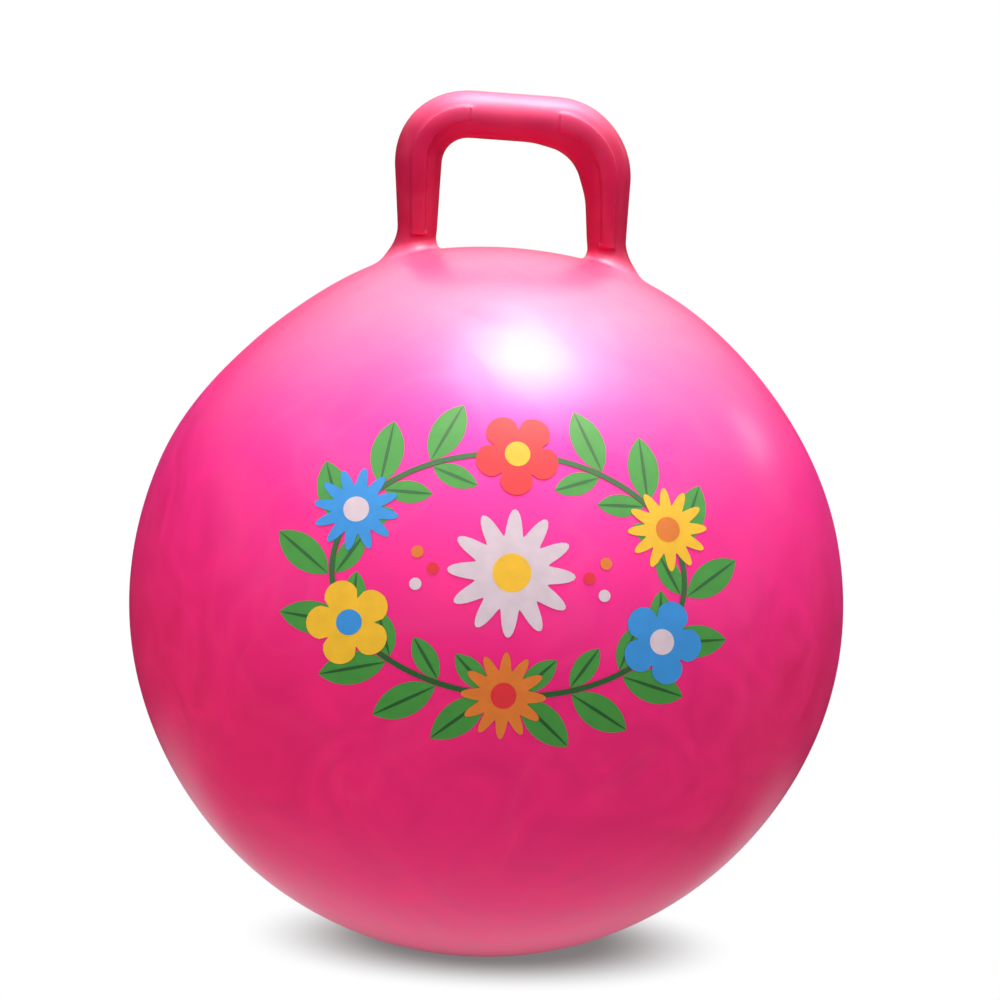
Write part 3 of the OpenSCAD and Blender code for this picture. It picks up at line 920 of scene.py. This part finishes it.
class HOPPER_OT_stage(bpy.types.Operator):
    """Set the pale floor, the soft light and the camera"""

    bl_idname = "hopper.stage"
    bl_label = "Stage"

    def execute(self, context):
        self.lay_floor()
        self.hang_flags()
        self.light_world(context.scene)
        self.hang_lamps(ball_centre(context.scene.hopper_sizes))
        self.place_camera(context.scene)
        context.scene.view_settings.view_transform = "Standard"
        return {"FINISHED"}

    def lay_floor(self):
        """A wide floor that glows white further out and shows a painted shadow, a tilted ellipse of dark
        grey floor round the ball's foot that keeps its real shading there; the glow also lights the ball as
        painted light.
        """
        start()
        bpy.ops.mesh.primitive_circle_add(vertices=96, radius=12.0, fill_type="NGON")
        floor = bpy.context.object
        floor.name = "floor"
        material, tree, output = new_material("pale floor")
        place = add(tree, "ShaderNodeTexCoord").outputs["Object"]
        # Painted shadow: the white glow fades out in a tilted ellipse round the ball's foot
        shadow_middle = (18 * MM, -5 * MM, 0.0)
        shadow_turn = (0.0, 0.0, math.radians(11))
        shadow_shape = (1.0, 0.7, 1.0)
        under = add(tree, "ShaderNodeMapping", {"vector_type": "TEXTURE"}, Vector=place,
                    Location=shadow_middle, Rotation=shadow_turn, Scale=shadow_shape)
        away = add(tree, "ShaderNodeVectorMath", {"operation": "LENGTH"}, Vector=under.outputs["Vector"])
        white = add(tree, "ShaderNodeMapRange", SMOOTH, Value=away.outputs["Value"], From_Min=65 * MM,
                    From_Max=165 * MM, To_Min=0.19, To_Max=1.0)
        # The glow lights the ball at 0.8 of its seen strength, as painted light
        lit = add(tree, "ShaderNodeMapRange", Value=self.shown(tree), To_Min=0.8, To_Max=1.0)
        share = add(tree, "ShaderNodeMath", {"operation": "MULTIPLY"}, _0=lit.outputs["Result"],
                    _1=white.outputs["Result"])
        glow = add(tree, "ShaderNodeEmission", Color=linear("#FFFFFF"), Strength=1.0)
        # Dark grey floor that shows in the painted shadow
        painted_shadow_grey = add(tree, "ShaderNodeBsdfDiffuse", Color=linear("#686868"))
        both = add(tree, "ShaderNodeMixShader", _0=share.outputs[0], _1=painted_shadow_grey.outputs[0],
                   _2=glow.outputs[0])
        tree.links.new(both.outputs[0], output.inputs["Surface"])
        floor.data.materials.append(material)

    def shown(self, tree):
        """One for the rays that see the background: from the camera, a reflection or clear plastic."""
        rays = add(tree, "ShaderNodeLightPath")
        seen = add(tree, "ShaderNodeMath", {"operation": "MAXIMUM"}, _0=rays.outputs["Is Camera Ray"],
                   _1=rays.outputs["Is Glossy Ray"])
        return add(tree, "ShaderNodeMath", {"operation": "MAXIMUM"}, _0=seen.outputs[0],
                   _1=rays.outputs["Is Transmission Ray"]).outputs[0]

    def hang_flags(self):
        """A dark dish round the ball, seen only in its reflections, as a studio's black cards are."""
        rings = ((0.03, 0.004), (2.2, 0.02), (2.2, 1.6))
        radius, height = rings[0]
        start()
        bpy.ops.mesh.primitive_circle_add(vertices=96, radius=radius, location=(0.0, 0.0, height))
        flags = bpy.context.object
        flags.name = "flags"
        settle(flags)
        bpy.ops.object.mode_set(mode="EDIT")
        bpy.ops.mesh.select_all(action="SELECT")
        for ring, following in zip(rings, rings[1:]):
            next_ring(ring, following)
        bpy.ops.object.mode_set(mode="OBJECT")
        material, tree, output = new_material("black card")
        place = add(tree, "ShaderNodeTexCoord").outputs["Object"]
        away = add(tree, "ShaderNodeVectorMath", {"operation": "LENGTH"}, Vector=place)
        axes = add(tree, "ShaderNodeSeparateXYZ", Vector=place)

        # The dish is clear round the ball's foot, over a wider patch behind the ball than in front
        before = add(tree, "ShaderNodeMapRange", SMOOTH, Value=away.outputs["Value"], From_Min=0.05,
                     From_Max=0.3)
        behind = add(tree, "ShaderNodeMapRange", SMOOTH, Value=away.outputs["Value"], From_Min=0.14,
                     From_Max=0.52)
        side = add(tree, "ShaderNodeMapRange", SMOOTH, Value=axes.outputs["Y"], From_Min=-0.05, From_Max=0.1)
        inner = add(tree, "ShaderNodeMix", {"data_type": "FLOAT"}, _0=side.outputs["Result"],
                    _2=before.outputs["Result"], _3=behind.outputs["Result"])

        # Its wall fades out towards a top that is low in front and high behind
        top = add(tree, "ShaderNodeMapRange", SMOOTH, Value=axes.outputs["Y"], From_Min=-0.8, From_Max=1.2,
                  To_Min=0.25, To_Max=1.6)
        middle = add(tree, "ShaderNodeMath", {"operation": "MULTIPLY"}, _0=top.outputs["Result"], _1=0.4)
        upper = add(tree, "ShaderNodeMapRange", SMOOTH, Value=axes.outputs["Z"], From_Min=middle.outputs[0],
                    From_Max=top.outputs["Result"], To_Min=1.0, To_Max=0.0)
        cover = add(tree, "ShaderNodeMath", {"operation": "MULTIPLY"}, _0=inner.outputs[0],
                    _1=upper.outputs["Result"])
        card = add(tree, "ShaderNodeBsdfDiffuse", Color=linear("#201A1C"))
        clear = add(tree, "ShaderNodeBsdfTransparent")
        faded = add(tree, "ShaderNodeMixShader", _0=cover.outputs[0], _1=clear.outputs[0],
                    _2=card.outputs[0])
        tree.links.new(faded.outputs[0], output.inputs["Surface"])
        flags.data.materials.append(material)
        flags.visible_camera = False
        flags.visible_diffuse = False
        flags.visible_shadow = False

    def light_world(self, scene):
        """White all round for what looks at it, and a plain soft light for what it lights."""
        world = bpy.data.worlds.new("studio")
        scene.world = world
        world.use_nodes = True
        tree = world.node_tree
        tree.nodes.clear()
        strength = add(tree, "ShaderNodeMapRange", Value=self.shown(tree), To_Min=0.4, To_Max=1.0)
        light = add(tree, "ShaderNodeBackground", Color=linear("#FFFFFF"),
                    Strength=strength.outputs["Result"])
        output = add(tree, "ShaderNodeOutputWorld")
        tree.links.new(light.outputs[0], output.inputs["Surface"])

    def hang_lamps(self, centre):
        """A key light, a wide dim ceiling and a fill, and three lamps that only the gloss mirrors."""
        for name, toward, away, width, power, tint, lights, mirrored in (
                ("key", (0.083, -0.114, 0.99), 1.17, 0.44, 7.0, "#FFFFFF", True, False),
                ("softbox", (0.083, -0.114, 0.99), 1.17, 0.44, 28.0, "#FFF4DC", False, True),
                ("ceiling", (0.0, 0.0, 1.0), 2.0, 6.0, 88.0, "#FFFFFF", True, True),
                ("sheen panel", (0.0, -0.3, 0.95), 1.9, 6.0, 140.0, "#FFFFFF", False, True),
                ("window", (0.785, 0.38, 0.489), 2.0, 0.35, 2.0, "#FFFFFF", False, True),
                ("left fill", (-0.75, -0.65, 0.1), 2.5, 2.0, 8.0, "#FFFFFF", True, False)):
            direction = Vector(toward).normalized()
            lamp = bpy.data.lights.new(name, "AREA")
            lamp.shape = "DISK"
            lamp.size = width
            lamp.energy = power
            lamp.color = linear(tint)[:3]
            box = bpy.data.objects.new(name, lamp)
            box.location = centre + away * direction
            box.rotation_euler = direction.to_track_quat("Z", "Y").to_euler()
            box.visible_camera = False
            box.visible_diffuse = lights
            box.visible_glossy = mirrored
            bpy.context.scene.collection.objects.link(box)

    def place_camera(self, scene):
        """The photograph's view: a little to the left, a little above and turned a few degrees."""
        elevation = math.radians(7.0)
        azimuth = math.radians(-3.5)
        roll = math.radians(4.2)
        distance = 1.771
        shift = 8.5 * MM
        lift = 63.2 * MM
        back = Vector((math.sin(azimuth) * math.cos(elevation), -math.cos(azimuth) * math.cos(elevation),
                       math.sin(elevation)))
        turn = back.to_track_quat("Z", "Y").to_matrix() @ Matrix.Rotation(roll, 3, "Z")
        right, up = turn.col[0], turn.col[1]
        aim = ball_centre(scene.hopper_sizes) + shift * right + lift * up
        data = bpy.data.cameras.new("camera")
        data.lens = 100.0
        data.sensor_width = 36.0
        camera = bpy.data.objects.new("camera", data)
        camera.location = aim + distance * back
        camera.rotation_euler = turn.to_euler()
        scene.collection.objects.link(camera)
        scene.camera = camera


OPERATORS = (
    HOPPER_OT_ball_skin,
    HOPPER_OT_grip,
    HOPPER_OT_valve_bush,
    HOPPER_OT_air_plug,
    HOPPER_OT_flower_print,
    HOPPER_OT_stage,
)


class HOPPER_PT_panel(bpy.types.Panel):
    """Steps that build the hopper ball"""

    bl_idname = "HOPPER_PT_panel"
    bl_label = "Hopper Ball"
    bl_space_type = "VIEW_3D"
    bl_region_type = "UI"
    bl_category = "Hopper Ball"

    def draw(self, context):
        for group in (context.scene.hopper_sizes, context.scene.hopper_colours):
            column = self.layout.column()
            for name in group.__annotations__:
                column.prop(group, name)
        for operator in OPERATORS:
            self.layout.operator(operator.bl_idname)


CLASSES = (HopperBallSizes, HopperBallColours, *OPERATORS, HOPPER_PT_panel)


def register():
    for cls in CLASSES:
        bpy.utils.register_class(cls)
    bpy.types.Scene.hopper_sizes = PointerProperty(type=HopperBallSizes)
    bpy.types.Scene.hopper_colours = PointerProperty(type=HopperBallColours)


def unregister():
    del bpy.types.Scene.hopper_colours
    del bpy.types.Scene.hopper_sizes
    for cls in reversed(CLASSES):
        bpy.utils.unregister_class(cls)


def main():
    register()
    bpy.ops.hopper.ball_skin()
    bpy.ops.hopper.grip()
    bpy.ops.hopper.valve_bush()
    bpy.ops.hopper.air_plug()
    bpy.ops.hopper.flower_print()
    bpy.ops.hopper.stage()


if __name__ == "__main__":
    main()
